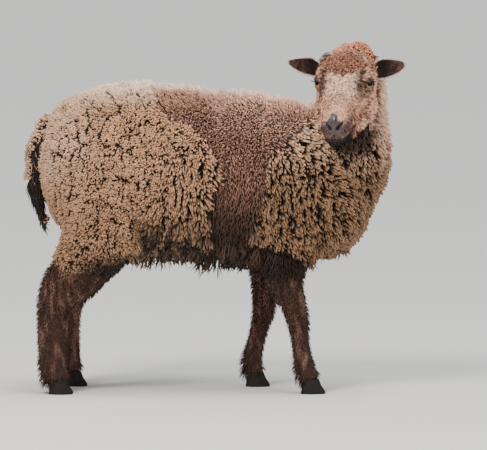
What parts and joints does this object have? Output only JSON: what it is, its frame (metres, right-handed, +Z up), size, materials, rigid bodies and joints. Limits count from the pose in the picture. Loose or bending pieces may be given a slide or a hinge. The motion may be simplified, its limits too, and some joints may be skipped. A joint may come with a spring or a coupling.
{
  "type": "soay sheep",
  "caption": "Life-size still model of a small brown sheep standing with its head turned to its right, with a half-shed fleece of clumps, thin tail and small horn stubs.",
  "frame": {"origin": "on the ground, below the middle of the whole animal's box", "axes": "+X from rump to chest, +Y to the sheep's left, +Z up"},
  "size_m": [0.7164, 0.3886, 0.6757],
  "materials": {
    "fleece": "clumped, half-shed wool, tan on dark brown",
    "dark_coat": "short dense dark brown hair",
    "face": "short grizzled hair with curly wool on the poll",
    "ear": "short hair, bare inside",
    "horn": "matt grey horn",
    "hoof": "satin black horn",
    "eye": "wet gloss"
  },
  "bodies": {
    "root": {"torso": "fleece", "neck": "fleece", "head": "face", "tail": "dark_coat", "leg_front_right": "dark_coat", "leg_front_left": "dark_coat", "leg_hind_right": "dark_coat", "leg_hind_left": "dark_coat", "claw_front_right_outer": "hoof", "claw_front_right_inner": "hoof", "claw_front_left_outer": "hoof", "claw_front_left_inner": "hoof", "claw_hind_right_outer": "hoof", "claw_hind_right_inner": "hoof", "claw_hind_left_outer": "hoof", "claw_hind_left_inner": "hoof", "ear_right": "ear", "ear_left": "ear", "eye_right": "eye", "eye_left": "eye", "horn_right": "horn", "horn_left": "horn"}
  },
  "joints": []
}
